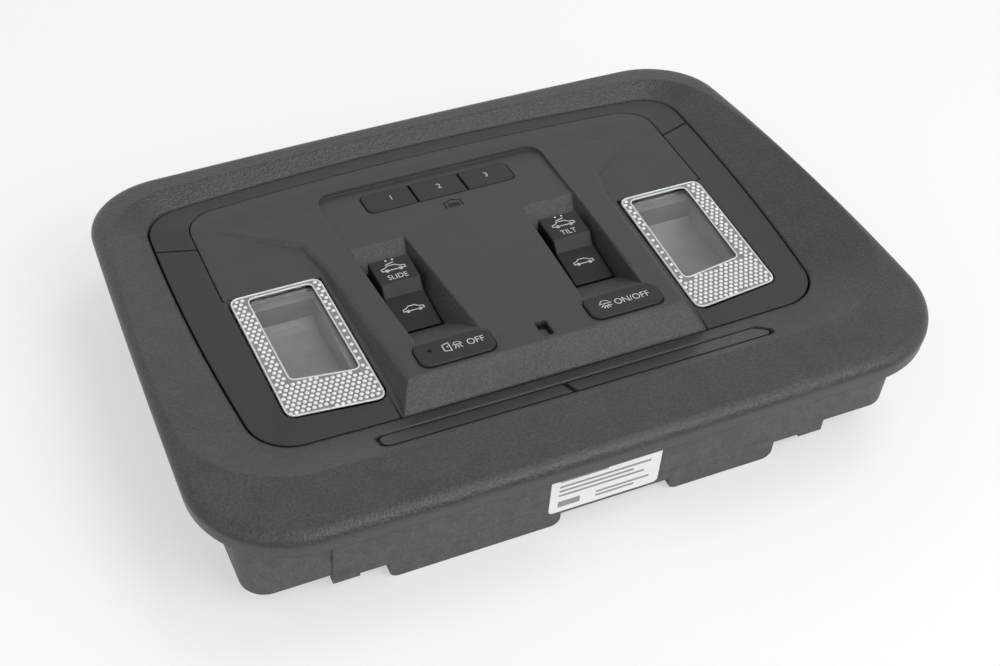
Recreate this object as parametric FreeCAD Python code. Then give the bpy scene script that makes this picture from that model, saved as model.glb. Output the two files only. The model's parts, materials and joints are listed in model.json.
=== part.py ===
import FreeCAD, Part
import math
import os
from FreeCAD import Vector

# Car overhead console, lying face up on the legs of its rear housing.
# Millimetres. X runs along the long side, Y away from the front rail, Z out of the face.

# Levels of the face
gap_z = 48.0            # level of the seam between the bezel and the inner trims
carrier_top = 44.0      # trims, panel and lamp boxes sit on this level
carrier_t = 2.5

# Bezel
rim_front_y = -107.2
rim_far_y = 107.4
rim_front_half = 146.8
rim_far_half = 138.6
rim_front_bow = 2.4
rim_far_bow = 2.6
rim_side_bow = 1.6
rim_front_r = 38.0
rim_far_r = 33.0
crown_radius = 1330.0   # the rim follows the arc of the roof
crown_top_y = -39.0
crown_top_z = 58.5
roll_r = 4.5            # rounded outer edge of the bezel
skirt_top = 4.6         # depth under the crown where the edge steps in to the skirt
skirt_low = 9.1         # depth under the crown where the skirt ends
skirt_step = 0.6
bezel_wall = 2.6
crown_wall = 2.8
edge_band = 10.0        # width of the rim that the skirt's lower edge is cut from
dish_angle = 23.5       # slope of the bezel down to the seam, degrees
dish_run = 30.0
dish_drop = 3.05        # vertical thickness of the sloping wall
flange_t = 2.4
boss_d = 7.6
boss_z = 40.0
boss_depth = 8.0
boss_places = ((125.4, 60.0), (114.0, -77.0))

# Opening of the bezel
opening_front_y = -58.8
opening_far_y = 85.6
opening_front_half = 114.2
opening_far_half = 119.0
opening_front_bow = 1.5
opening_far_bow = 6.9
opening_side_bow = 2.9
opening_front_r = 18.0
opening_far_r = 16.5

# Seams
seam = 0.9              # dark seam round the inner trims
trim_seam = 0.5         # seam between trims, panel and lenses
key_gap = 0.35          # room round every button
trim_run = 14.0
trim_rise = 1.7
trim_drop = 0.1         # the trims' edge lies this far under the seam level
trim_lap = 6.0
trim_nose_y = -40.0
split_run = 30.0        # seam between the far trim and the side trims
split_y = (56.6, 69.7)

# Centre panel
panel_half = 103.4
panel_far_y = 78.6
panel_far_bow = 4.3
panel_far_r = 14.0
panel_nose_half = 62.3
panel_wall = 2.6
panel_room_z = 46.4     # the low part of the panel is hollow up to this level
nose_lap = 8.0
top_ref_y = -30.0       # the raised top and the sunken floor meet on this line
top_ref_z = 56.0
top_slope = 0.0665
floor_slope = 0.082
tent_base_z = 47.0
tent_peak_z = 62.0
tent_base = ((97.0, 64.0), (67.5, 40.5), (64.2, 24.0), (62.3, -60.4))
tent_peak = ((84.0, 64.0), (58.5, 46.0), (55.8, 26.0), (54.0, -45.8))
tent_round = 2.2
recess_half_far = 50.0
recess_half_near = 47.0
recess_far_y = 71.5
recess_near_y = -60.0
recess_r = 7.0

# Rockers and their scooped pockets
pocket_x = (27.6, 45.9)
pocket_y = (-15.4, 22.9)
pocket_base_z = 44.5
pocket_mouth_z = 58.0
pocket_mouth = ((20.6, -37.0), (46.6, -37.0), (52.5, 44.5), (22.9, 44.5))
tub_wall = 2.0
tub_bottom = 39.5
rocker_gap = 0.7
pivot_y = 4.0
pivot_z = 42.3
pin_d = 3.0
pin_fit = 0.05
rocker_bottom = 39.6
rocker_profile = ((22.0, 44.0), (22.0, 51.3), (7.4, 51.3), (4.0, 47.0), (-14.5, 45.0), (-14.5, 41.2))
rocker_round = 0.8
rocker_round_z = 45.5   # edges above this level are rounded
rocker_tail = 12.0

# Buttons
home_half = 33.0
home_count = 3
home_pitch = 2 * home_half / home_count
home_lip_half = 6.0
home_y = (52.6, 66.4)
home_r = 3.2
home_proud = 0.5
press_x = (19.2, 50.0)
press_y = (-48.6, -34.6)
press_r = 4.2
press_proud = 0.9
press_lip_half = 9.0
button_round = 0.7
button_h = 5.0
button_lip = 1.0
lip_t = 1.2
button_travel = 1.0
stem_d = 4.0
stem_gap = 0.3          # left over the switch when the button is down
stem_root = 2.0
sensor_x = (-1.9, 2.9)
sensor_y = (-48.4, -39.6)
sensor_sunk = 2.4
sensor_r = 1.2
sensor_gap = 0.2

# Map lamps
lens_seat = ((102.6, 23.0), (64.3, 23.0), (62.8, -50.1), (101.3, -46.2))
lens_r = 5.0
lens_top_z = 50.2
lens_tilt = 0.012
lens_t = 2.2
lens_skirt = 1.8
lens_travel = 0.8       # each lens is pressed to switch its lamp
lens_rest_gap = 0.4     # left under the skirt when the lens is down
lens_guide = 0.5        # between the lens skirt and the lamp box
lens_border = (7.6, 4.6, 2.8, 18.5)   # outer, inner, far and near width of the prism border
window_depth = 0.7
window_r = 3.0
lamp_flange = 1.6
lamp_wall = 1.6
lamp_x = (68.4, 97.6)
lamp_y = (-41.6, 17.6)
lamp_floor_z = 30.0
lamp_ramp_z = 41.0
lamp_gap = 0.4          # between the lamp box and the carrier
ramp_land = 14.0
ramp_fall = 1.0
lamp_well = 22.0
led_size = 5.0
led_t = 1.4
led_inset = 10.0

# Strip covers in the front rail
strip_far_y = -67.4
strip_near_y = -78.2
strip_left_x = -76.5
strip_right_x = 77.5
strip_tip = 6.0
strip_split = (-5.6, -2.2)
strip_r = 3.4
strip_depth = 2.0
strip_sunk = 0.3
strip_gap = 0.6

# Rear housing
housing_front_y = -92.6
housing_far_y = 98.0
housing_half = 135.4
housing_r = 13.0
housing_draft = 5.0
housing_wall = 2.6
deck_z = 12.0
deck_t = 2.4
land_half = 101.0       # the middle of each long wall stands proud
land_proud = 0.8
bezel_seat = 0.15       # between the housing's edge and the bezel above it
housing_split_z = 38.0
plate_gap = 0.05        # round the back plate and the screw bosses in it
skirt_steps = ((101.0, 7.4), (90.8, 8.8), (79.5, 0.0))   # half width and lower edge of each step
notch_x = (-11.5, 34.0)
notch_z = 6.6
leg_r = 4.0
post_d = 10.0
post_bore = 6.6
head_seat_z = 33.0
rest_places = ((113.0, 30.0), (113.0, -30.0))
rest_d = 7.0
mount_places = ((92.0, 62.0), (92.0, -62.0))
mount_d = 10.0
mount_bore = 4.2
mount_z = 4.0
mount_depth = 12.0
mount_cap = 2.0

# Electrics
board_z = 33.0
board_t = 1.6
board_half = 56.5
board_y = (-54.0, 74.0)
board_posts = ((53.0, 70.0), (53.0, -50.5))
board_post_d = 6.0
post_skin = 1.0         # left over the screw's pilot hole
well_half = 57.5        # window of the carrier over the board
well_y = (-51.0, 72.0)
carrier_edge = 1.4      # the carrier reaches this far under the bezel
arm_half = 4.0
arm_reach = 7.0
arm_drop = 0.5
switch_size = 6.0
switch_body = 2.6
switch_top_z = 38.2
switch_cap_d = 3.2
rocker_reach = 9.0
plug_x = 11.0
plug_y = -46.0
plug_size = (28.0, 12.0)
plug_wall = 1.4
plug_gap = 0.3
plug_depth = 14.0
pin_rows = 2
pin_count = 6
pin_pitch = 4.0
contact_d = 0.9
pin_length = 6.5

# Screws
screw_d = 2.9
screw_hole = 3.0
screw_pass = 3.6
screw_end_gap = 0.5
screw_head_d = 6.0
screw_head_h = 2.2
board_screw_d = 2.3
board_pilot = 2.4
board_head_d = 4.6
board_head_h = 1.6

# Label on the front wall
label_x = (-17.0, 28.3)
label_z = (8.2, 28.5)
label_t = 0.25
label_r = 2.0

# Helpers of the cuts
sky = 90.0              # a level above everything
big = 400.0             # farther than everything
overlap = 1.0           # cutters run this far past a face
hair = 0.001
tol = 0.01


def box(x, y, z):
    return Part.makeBox(x[1] - x[0], y[1] - y[0], z[1] - z[0], Vector(x[0], y[0], z[0]))


def rod(d, z0, z1, place):
    return Part.makeCylinder(d / 2, z1 - z0, Vector(place[0], place[1], z0))


def prism(wire, z0, z1):
    face = Part.Face(wire)
    face.translate(Vector(0, 0, z0))
    return face.extrude(Vector(0, 0, z1 - z0))


def mirror(shape):
    return shape.mirror(Vector(0, 0, 0), Vector(1, 0, 0))


def both_sides(places):
    return [(sign * x, y) for x, y in places for sign in (1, -1)]


def polygon(points, z=0.0):
    corners = [Vector(x, y, z) for x, y in points]
    return Part.makePolygon(corners + corners[:1])


def rounded(points, radius):
    """Closed outline with every corner rounded by an arc."""
    corners = [Vector(x, y, 0) for x, y in points]
    starts, arcs, ends = [], [], []
    for i, corner in enumerate(corners):
        back = (corners[i - 1] - corner).normalize()
        on = (corners[(i + 1) % len(corners)] - corner).normalize()
        half = back.getAngle(on) / 2
        reach = radius / math.tan(half)
        middle = (back + on).normalize() * (radius / math.sin(half) - radius)
        starts.append(corner + back * reach)
        ends.append(corner + on * reach)
        arcs.append(Part.Arc(starts[-1], corner + middle, ends[-1]).toShape())
    edges = []
    for i, arc in enumerate(arcs):
        edges.append(arc)
        edges.append(Part.LineSegment(ends[i], starts[(i + 1) % len(starts)]).toShape())
    return Part.Wire(edges)


def bowed(front_half, front_y, front_bow, far_half, far_y, far_bow, side_bow, front_r, far_r):
    """Four bowed sides with rounded corners, symmetric about X = 0."""
    mid_half = (front_half + far_half) / 2 + side_bow
    mid_y = (front_y + far_y) / 2
    corners = [Vector(-front_half, front_y, 0), Vector(front_half, front_y, 0),
               Vector(far_half, far_y, 0), Vector(-far_half, far_y, 0)]
    middles = [Vector(0, front_y - front_bow, 0), Vector(mid_half, mid_y, 0),
               Vector(0, far_y + far_bow, 0), Vector(-mid_half, mid_y, 0)]
    sides = []
    for i, bow in enumerate((front_bow, side_bow, far_bow, side_bow)):
        ends = (corners[i], corners[(i + 1) % 4])
        side = Part.Arc(ends[0], middles[i], ends[1]) if bow else Part.LineSegment(*ends)
        sides.append(side.toShape())
    block = Part.Face(Part.Wire(sides)).extrude(Vector(0, 0, 1))
    for radius, y in ((front_r, front_y), (far_r, far_y)):
        corner = edges_near(block, lambda c: abs(c.z - 0.5) < tol and abs(c.y - y) < tol)
        block = block.makeFillet(radius, corner) if radius else block
    floor = [f for f in block.Faces if f.CenterOfMass.z < tol][0]
    return floor.OuterWire


def outline(spec, grow=0.0):
    """The bowed outline of a spec, with all its sides moved out by the same distance."""
    front_half, front_y, front_bow, far_half, far_y, far_bow, side_bow, front_r, far_r = spec
    return bowed(front_half + grow, front_y - grow, front_bow, far_half + grow, far_y + grow, far_bow,
                 side_bow, front_r and front_r + grow, far_r and far_r + grow)


def lift(wire, z):
    up = wire.copy()
    up.translate(Vector(0, 0, z))
    return up


def slab_under(z_ref, y_ref, slope):
    """Everything under a plane that falls towards the far side."""
    corners = [Vector(-big, -big, -big), Vector(-big, big, -big),
               Vector(-big, big, z_ref - slope * (big - y_ref)),
               Vector(-big, -big, z_ref + slope * (big + y_ref))]
    return Part.Face(Part.makePolygon(corners + corners[:1])).extrude(Vector(2 * big, 0, 0))


def crown(depth):
    """Everything under the arched rim, lowered by a depth."""
    centre = Vector(-big, crown_top_y, crown_top_z - crown_radius)
    return Part.makeCylinder(crown_radius - depth, 2 * big, centre, Vector(1, 0, 0))


def top_z(y):
    return top_ref_z - top_slope * (y - top_ref_y)


def floor_z(y):
    return top_ref_z - floor_slope * (y - top_ref_y)


def under_top(drop=0.0):
    return slab_under(top_ref_z - drop, top_ref_y, top_slope)


def under_floor(drop=0.0):
    return slab_under(top_ref_z - drop, top_ref_y, floor_slope)


def one_solid(shape):
    solids = sorted(shape.Solids, key=lambda s: -s.Volume)
    return solids[0]


def edges_near(shape, test):
    return [e for e in shape.Edges if test(e.CenterOfMass)]


rim = (rim_front_half, rim_front_y, rim_front_bow, rim_far_half, rim_far_y, rim_far_bow,
       rim_side_bow, rim_front_r, rim_far_r)
opening = (opening_front_half, opening_front_y, opening_front_bow, opening_far_half,
           opening_far_y, opening_far_bow, opening_side_bow, opening_front_r, opening_far_r)
housing = (housing_half, housing_front_y, 0, housing_half, housing_far_y, 0, 0, housing_r, housing_r)
panel_back = (panel_half, lens_seat[0][1], 0, panel_half, panel_far_y, panel_far_bow, 0, 0, panel_far_r)


def lens_outline(inset):
    return rounded(lens_seat, lens_r).makeOffset2D(-inset) if inset else rounded(lens_seat, lens_r)


def dish(lower):
    """The sloping hollow of the bezel's face, lowered by a depth."""
    rise = dish_run * math.tan(math.radians(dish_angle))
    low = lift(outline(opening), gap_z - lower)
    high = lift(outline(opening, dish_run), gap_z + rise - lower)
    return Part.makeLoft([low, high], True, True)


def bezel_hollow():
    room = prism(outline(rim, -skirt_step - bezel_wall), 0, sky).common(crown(crown_wall))
    room = room.cut(dish(dish_drop))
    return room.cut(prism(outline(opening, flange_t), 0, sky))


def strip_outline(inset):
    left = strip_left_x + inset
    right = strip_right_x - inset
    far = strip_far_y - inset
    near = strip_near_y + inset
    return rounded(((left, near), (right + strip_tip, near), (right, far), (left, far)), strip_r)


def strip_cover(left):
    layer = prism(strip_outline(strip_gap), 0, sky).common(dish(strip_depth)).cut(dish(strip_sunk))
    half_gap = strip_gap / 2
    far_x, near_x = strip_split
    shift = -half_gap if left else half_gap
    far_end = -big if left else big
    keep = polygon(((far_x + shift, 0), (near_x + shift, strip_near_y), (near_x + shift, -big),
                    (far_end, -big), (far_end, 0)))
    return one_solid(layer.common(prism(keep, 0, sky)))


def make_bezel(hollow):
    body = prism(outline(rim), 0, sky).common(crown(0))
    rim_edges = edges_near(body, lambda c: c.z > carrier_top)
    body = body.makeFillet(roll_r, rim_edges)
    ring = prism(outline(rim, overlap), 0, sky).cut(prism(outline(rim, -skirt_step), 0, sky))
    body = body.cut(ring.common(crown(skirt_top)))
    body = body.cut(hollow)
    body = body.cut(dish(0)).cut(prism(outline(opening), 0, gap_z + overlap))
    edge_zone = prism(outline(rim, overlap), 0, sky).cut(prism(outline(rim, -edge_band), 0, sky))
    body = body.cut(edge_zone.common(crown(skirt_low)))
    body = body.cut(prism(outline(opening, flange_t + overlap), 0, carrier_top))
    body = body.cut(prism(strip_outline(0), 0, sky).common(dish(strip_depth)))
    for place in both_sides(boss_places):
        boss = rod(boss_d, boss_z, sky, place).common(hollow)
        body = body.fuse(boss)
    for place in both_sides(boss_places):
        body = body.cut(rod(screw_hole, boss_z, boss_z + boss_depth, place))
    return one_solid(body.removeSplitter())


def drafted(inset, z0, z1):
    """The housing's outline with its walls leaning in towards the back."""
    lean = math.tan(math.radians(housing_draft))
    low = lift(outline(housing, -inset - lean * (gap_z - z0)), z0)
    high = lift(outline(housing, -inset - lean * (gap_z - z1) + hair), z1)
    return Part.makeLoft([low, high], True, True)


def skirt_cutter():
    """Everything under the stepped lower edge of the long walls."""
    points = [(-big, -overlap), (-big, deck_z)]
    left = []
    for half, z in skirt_steps:
        level = left[-1][1] if left else deck_z
        left += [(-half, level), (-half, z)]
    right = [(-x, z) for x, z in reversed(left)]
    notch = [(notch_x[0], 0.0), (notch_x[0], notch_z), (notch_x[1], notch_z), (notch_x[1], 0.0)]
    points += left + notch + right + [(big, deck_z), (big, -overlap)]
    corners = [Vector(x, -big, z) for x, z in points]
    block = Part.Face(Part.makePolygon(corners + corners[:1])).extrude(Vector(0, 2 * big, 0))
    ends = (skirt_steps[-1][0], notch_x[0], notch_x[1])

    def leg_end(c):
        return abs(c.z) < tol and min(abs(abs(c.x) - abs(e)) for e in ends) < tol

    return block.makeFillet(leg_r, edges_near(block, leg_end))


def slice_z(z0, z1):
    return box((-big, big), (-big, big), (z0, z1))


def housing_shell():
    """Drafted walls down to the legs, with the middle of each long wall standing proud."""
    land = box((-land_half, land_half), (-big, big), (0, sky))
    shell = drafted(0, 0, sky).fuse(drafted(-land_proud, 0, sky).common(land))
    return shell.cut(drafted(housing_wall, 0, sky)).cut(skirt_cutter())


def make_housing(hollow, shell):
    under_bezel = hollow.copy()
    under_bezel.translate(Vector(0, 0, -bezel_seat))
    lower = shell.common(slice_z(deck_z, housing_split_z))
    upper = shell.common(under_bezel).common(slice_z(housing_split_z - overlap, sky))
    return one_solid(lower.fuse(upper).removeSplitter())


def make_skirt(shell):
    """The two leg walls under the back plate."""
    return Part.makeCompound(shell.common(slice_z(-overlap, deck_z)).Solids)


def make_back_plate():
    inset = housing_wall + plate_gap
    room = drafted(inset, deck_z, sky)
    body = drafted(inset, deck_z, deck_z + deck_t)
    for place in both_sides(boss_places):
        body = body.fuse(rod(post_d, deck_z, boss_z, place).common(room))
    for place in both_sides(rest_places):
        body = body.fuse(rod(rest_d, deck_z, carrier_top - carrier_t, place))
    for place in both_sides(boss_places):
        body = body.cut(rod(post_bore, 0, head_seat_z, place)).cut(rod(screw_pass, 0, boss_z, place))
    for place in both_sides(mount_places):
        body = body.cut(rod(mount_d + 2 * plate_gap, 0, sky, place))
    body = body.cut(plug_block(plug_gap, 0, deck_z + deck_t + overlap))
    return one_solid(body.removeSplitter())


def make_mount_bosses():
    bosses = []
    for place in both_sides(mount_places):
        boss = rod(mount_d, mount_z, mount_z + mount_depth + mount_cap, place)
        bosses.append(boss.cut(rod(mount_bore, mount_z, mount_z + mount_depth, place)))
    return Part.makeCompound(bosses)


def make_carrier():
    low = carrier_top - carrier_t
    plate = prism(outline(opening, carrier_edge), low, carrier_top)
    plate = plate.cut(box((-well_half, well_half), well_y, (0, sky)))
    window = box((lamp_x[0] - lamp_gap, lamp_x[1] + lamp_gap),
                 (lamp_y[0] - lamp_gap, lamp_y[1] + lamp_gap), (0, sky))
    plate = plate.cut(window).cut(mirror(window))
    for x, y in both_sides(board_posts):
        side = math.copysign(1, x)
        ends = sorted((x - side * arm_half, x + side * arm_reach))
        plate = plate.fuse(box(ends, (y - arm_half, y + arm_half), (low, carrier_top - arm_drop)))
        plate = plate.fuse(rod(board_post_d, board_z + board_t, low, (x, y)))
    for place in both_sides(board_posts):
        plate = plate.cut(rod(board_pilot, board_z, carrier_top - post_skin, place))
    return one_solid(plate.removeSplitter())


def face_dome():
    """The gently domed face that the trims and the panel are cut from."""
    edge = outline(opening, -seam)
    edge_z = gap_z - trim_drop
    low = prism(edge, carrier_top, edge_z)
    crest = lift(outline(opening, -seam - trim_run), edge_z + trim_rise)
    return low.fuse(Part.makeLoft([lift(edge, edge_z), crest], True, True)).removeSplitter()


def make_trim_far():
    inner = (panel_half, split_y[0])
    outer = (panel_half + split_run, split_y[1])
    line = ((-big, big), (big, big), (big, outer[1]), outer, inner, (-inner[0], inner[1]),
            (-outer[0], outer[1]), (-big, outer[1]))
    ring = face_dome().common(prism(polygon(line), 0, sky))
    return one_solid(ring.cut(prism(outline(panel_back, trim_seam), 0, sky)))


def make_trim_right():
    inner_x = panel_nose_half + trim_seam
    lap_x = panel_half - trim_lap
    inner_y = split_y[0] - seam
    outer_y = split_y[1] - seam
    line = ((inner_x, -big), (big, -big), (big, outer_y), (panel_half + split_run, outer_y),
            (panel_half, inner_y), (lap_x, inner_y), (lap_x, trim_nose_y), (inner_x, trim_nose_y))
    side = face_dome().common(prism(polygon(line), 0, sky))
    side = side.cut(prism(outline(panel_back, trim_seam), 0, sky))
    return one_solid(side.cut(prism(lens_outline(0), 0, sky)))


def tent(inset):
    """The raised wedge of the panel, before its top is sloped off."""
    base = [(x - inset, y + (inset if y < 0 else -inset)) for x, y in tent_base]
    peak = [(x - inset, y + (inset if y < 0 else -inset)) for x, y in tent_peak]
    low = polygon(base + [(-x, y) for x, y in reversed(base)], tent_base_z)
    high = polygon(peak + [(-x, y) for x, y in reversed(peak)], tent_peak_z)
    return Part.makeLoft([low, high], True, True)


def panel_plan(inset):
    nose = ((lens_seat[1][0] - inset, lens_seat[1][1] + nose_lap),
            (lens_seat[1][0] - inset, lens_seat[1][1]),
            (lens_seat[2][0] - inset, lens_seat[2][1]),
            (panel_nose_half - inset, opening_front_y - opening_front_bow + seam + inset))
    nose_line = polygon(list(nose) + [(-x, y) for x, y in reversed(nose)])
    return prism(outline(panel_back, -inset), 0, sky).fuse(prism(nose_line, 0, sky)).removeSplitter()


def rocker_pocket(wall, z_low):
    x = (pocket_x[0] - wall, pocket_x[1] + wall)
    y = (pocket_y[0] - wall, pocket_y[1] + wall)
    quad = ((x[0], y[0]), (x[1], y[0]), (x[1], y[1]), (x[0], y[1]))
    signs = ((-1, -1), (1, -1), (1, 1), (-1, 1))
    mouth = [(px + sx * wall, py + sy * wall) for (px, py), (sx, sy) in zip(pocket_mouth, signs)]
    scoop = Part.makeLoft([polygon(quad, pocket_base_z), polygon(mouth, pocket_mouth_z)], True, True)
    return scoop.fuse(box(x, y, (z_low, pocket_base_z))).removeSplitter()


def press_outline(inset):
    x = (press_x[0] + inset, press_x[1] - inset)
    y = (press_y[0] + inset, press_y[1] - inset)
    return rounded(((x[0], y[0]), (x[1], y[0]), (x[1], y[1]), (x[0], y[1])), press_r - inset)


def home_outline(inset):
    x = home_half - inset
    y = (home_y[0] + inset, home_y[1] - inset)
    return rounded(((-x, y[0]), (x, y[0]), (x, y[1]), (-x, y[1])), home_r - inset)


def sensor_outline(inset):
    x = (sensor_x[0] + inset, sensor_x[1] - inset)
    y = (sensor_y[0] + inset, sensor_y[1] - inset)
    return rounded(((x[0], y[0]), (x[1], y[0]), (x[1], y[1]), (x[0], y[1])), sensor_r - inset / 2)


def make_panel():
    wedge = tent(0).common(under_top())

    def crest(c):
        return abs(c.z - top_z(c.y)) < tent_round / 10 and c.y < tent_base[0][1] - overlap

    wedge = wedge.makeFillet(tent_round, edges_near(wedge, crest))
    body = face_dome().fuse(wedge).common(panel_plan(0))
    far_half, near_half = recess_half_far, recess_half_near
    recess = rounded(((-near_half, recess_near_y), (near_half, recess_near_y), (far_half, recess_far_y),
                      (-far_half, recess_far_y)), recess_r)
    body = body.cut(prism(recess, 0, sky).cut(under_floor()))
    room = tent(panel_wall).common(under_top(panel_wall)).common(under_floor(panel_wall))
    room = room.fuse(panel_plan(panel_wall).common(box((-big, big), (-big, big), (0, panel_room_z))))
    body = body.cut(room)
    tub = rocker_pocket(tub_wall, tub_bottom).common(under_floor()).common(panel_plan(panel_wall))
    body = body.fuse(tub).fuse(mirror(tub))
    scoop = rocker_pocket(0, 0)
    side = tub_wall + overlap
    axle = Part.makeCylinder(pin_d / 2 + pin_fit, pocket_x[1] - pocket_x[0] + 2 * side,
                             Vector(pocket_x[0] - side, pivot_y, pivot_z), Vector(1, 0, 0))
    press = prism(press_outline(0), 0, sky)
    for cutter in (scoop, axle, press):
        body = body.cut(cutter).cut(mirror(cutter))
    body = body.cut(prism(home_outline(0), 0, sky))
    body = body.cut(prism(sensor_outline(0), 0, sky))
    return one_solid(body.removeSplitter())


def make_rocker():
    x0 = pocket_x[0] + rocker_gap
    x1 = pocket_x[1] - rocker_gap
    tail = ((pivot_y - rocker_tail, rocker_bottom), (pivot_y + rocker_tail, rocker_bottom))
    corners = [Vector(x0, y, z) for y, z in rocker_profile + tail]
    body = Part.Face(Part.makePolygon(corners + corners[:1])).extrude(Vector(x1 - x0, 0, 0))
    body = body.makeFillet(rocker_round, edges_near(body, lambda c: c.z > rocker_round_z))
    pin_reach = rocker_gap + tub_wall
    pin = Part.makeCylinder(pin_d / 2, x1 - x0 + 2 * pin_reach, Vector(x0 - pin_reach, pivot_y, pivot_z),
                            Vector(1, 0, 0))
    return one_solid(body.fuse(pin).removeSplitter())


def button(key_line, lip, middle, proud, slope):
    """A key cap that follows the panel's slope, with a retaining lip and a stem."""
    def under(drop):
        return slab_under(top_ref_z - drop, top_ref_y, slope)

    def crest(y):
        return top_ref_z + proud - slope * (y - top_ref_y)

    cap = prism(key_line, 0, sky).common(under(-proud)).cut(under(button_h - proud))
    cap = cap.makeFillet(button_round, edges_near(cap, lambda c: abs(c.z - crest(c.y)) < 2 * tol))
    lip_top = panel_wall + key_gap
    cap = cap.fuse(lip.common(under(lip_top)).cut(under(lip_top + lip_t)))
    stem_low = switch_top_z + button_travel + stem_gap
    cap = cap.fuse(rod(stem_d, stem_low, crest(middle[1]) - stem_root, middle))
    return one_solid(cap.removeSplitter())


def home_middle(index):
    return (home_pitch * (index + 0.5) - home_half, (home_y[0] + home_y[1]) / 2)


def home_button(index):
    middle = home_middle(index)
    x0 = middle[0] - home_pitch / 2
    x = (x0 + key_gap * (index > 0), x0 + home_pitch - key_gap * (index < home_count - 1))
    slot = prism(home_outline(key_gap), 0, sky).common(box(x, (-big, big), (0, sky))).Solids[0]
    low = [f for f in slot.Faces if abs(f.CenterOfMass.z) < tol][0]
    lip = box((middle[0] - home_lip_half, middle[0] + home_lip_half),
              (home_y[0] - button_lip, home_y[1] + button_lip), (0, sky))
    return button(low.OuterWire, lip, middle, home_proud, floor_slope)


def press_middle():
    return ((press_x[0] + press_x[1]) / 2, (press_y[0] + press_y[1]) / 2)


def press_button():
    middle = press_middle()
    lip = box((middle[0] - press_lip_half, middle[0] + press_lip_half),
              (press_y[0] - button_lip, press_y[1] + button_lip), (0, sky))
    return button(press_outline(key_gap), lip, middle, press_proud, top_slope)


def sensor_window():
    top = under_floor(sensor_sunk)
    guide = prism(sensor_outline(sensor_gap), board_z + board_t, sky).common(top)
    return one_solid(guide)


def lens_window():
    outer, inner, far, near = lens_border
    moves = ((-outer, -far), (inner, -far), (inner, near), (-outer, near))
    return rounded([(x + dx, y + dy) for (x, y), (dx, dy) in zip(lens_seat, moves)], window_r)


def make_lens():
    surface = slab_under(lens_top_z, lens_seat[0][1], -lens_tilt)
    low = slab_under(lens_top_z - lens_t, lens_seat[0][1], -lens_tilt)
    window_low = slab_under(lens_top_z - window_depth, lens_seat[0][1], -lens_tilt)
    body = prism(lens_outline(trim_seam), carrier_top + lens_travel + lens_rest_gap, sky).common(surface)
    body = body.cut(prism(lens_outline(trim_seam + lens_skirt), 0, sky).common(low))
    body = body.cut(prism(lens_window(), 0, sky).cut(window_low))
    return one_solid(body)


def make_lamp_box():
    flange = prism(lens_outline(trim_seam + lens_skirt + lens_guide), carrier_top, carrier_top + lamp_flange)
    body = flange.fuse(box(lamp_x, lamp_y, (lamp_floor_z, carrier_top)))
    x = (lamp_x[0] + lamp_wall, lamp_x[1] - lamp_wall)
    y = (lamp_y[0] + lamp_wall, lamp_y[1] - lamp_wall)
    floor = lamp_floor_z + lamp_wall
    profile = ((y[1], floor), (y[1], sky), (y[0], sky), (y[0], lamp_ramp_z),
               (y[0] + ramp_land, lamp_ramp_z - ramp_fall), (y[1] - lamp_well, floor))
    corners = [Vector(x[0], py, pz) for py, pz in profile]
    room = Part.Face(Part.makePolygon(corners + corners[:1])).extrude(Vector(x[1] - x[0], 0, 0))
    return one_solid(body.cut(room).removeSplitter())


def make_leds():
    middle = (lamp_x[0] + lamp_x[1]) / 2
    y = lamp_y[1] - lamp_wall - led_inset
    floor = lamp_floor_z + lamp_wall
    half = led_size / 2
    led = box((middle - half, middle + half), (y - half, y + half), (floor, floor + led_t))
    return Part.makeCompound([led, mirror(led)])


def make_board():
    board = box((-board_half, board_half), board_y, (board_z, board_z + board_t))
    for place in both_sides(board_posts):
        board = board.cut(rod(screw_hole, 0, sky, place))
    return one_solid(board)


def switch_places():
    rocker_x = (pocket_x[0] + pocket_x[1]) / 2
    pairs = (press_middle(), (rocker_x, pivot_y + rocker_reach), (rocker_x, pivot_y - rocker_reach))
    return [home_middle(i) for i in range(home_count)] + both_sides(pairs)


def make_switches():
    half = switch_size / 2
    low = board_z + board_t
    switches = []
    for x, y in switch_places():
        body = box((x - half, x + half), (y - half, y + half), (low, low + switch_body))
        switches.append(body.fuse(rod(switch_cap_d, low + switch_body, switch_top_z, (x, y))))
    return Part.makeCompound(switches)


def plug_block(grow, z0, z1):
    half_x = plug_size[0] / 2 + grow
    half_y = plug_size[1] / 2 + grow
    return box((plug_x - half_x, plug_x + half_x), (plug_y - half_y, plug_y + half_y), (z0, z1))


def make_connector():
    body = plug_block(0, deck_z, board_z)
    return one_solid(body.cut(plug_block(-plug_wall, 0, deck_z + plug_depth)))


def make_pins():
    floor = deck_z + plug_depth
    pins = []
    for row in range(pin_rows):
        for i in range(pin_count):
            x = plug_x + (i - (pin_count - 1) / 2) * pin_pitch
            y = plug_y + (row - (pin_rows - 1) / 2) * pin_pitch
            pins.append(rod(contact_d, floor - pin_length, floor, (x, y)))
    return Part.makeCompound(pins)


def make_housing_screws():
    screws = []
    for place in both_sides(boss_places):
        head = rod(screw_head_d, head_seat_z - screw_head_h, head_seat_z, place)
        screws.append(head.fuse(rod(screw_d, head_seat_z, boss_z + boss_depth - screw_end_gap, place)))
    return Part.makeCompound(screws)


def make_board_screws():
    screws = []
    for place in both_sides(board_posts):
        head = rod(board_head_d, board_z - board_head_h, board_z, place)
        screws.append(head.fuse(rod(board_screw_d, board_z, carrier_top - post_skin - screw_end_gap, place)))
    return Part.makeCompound(screws)


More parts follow.
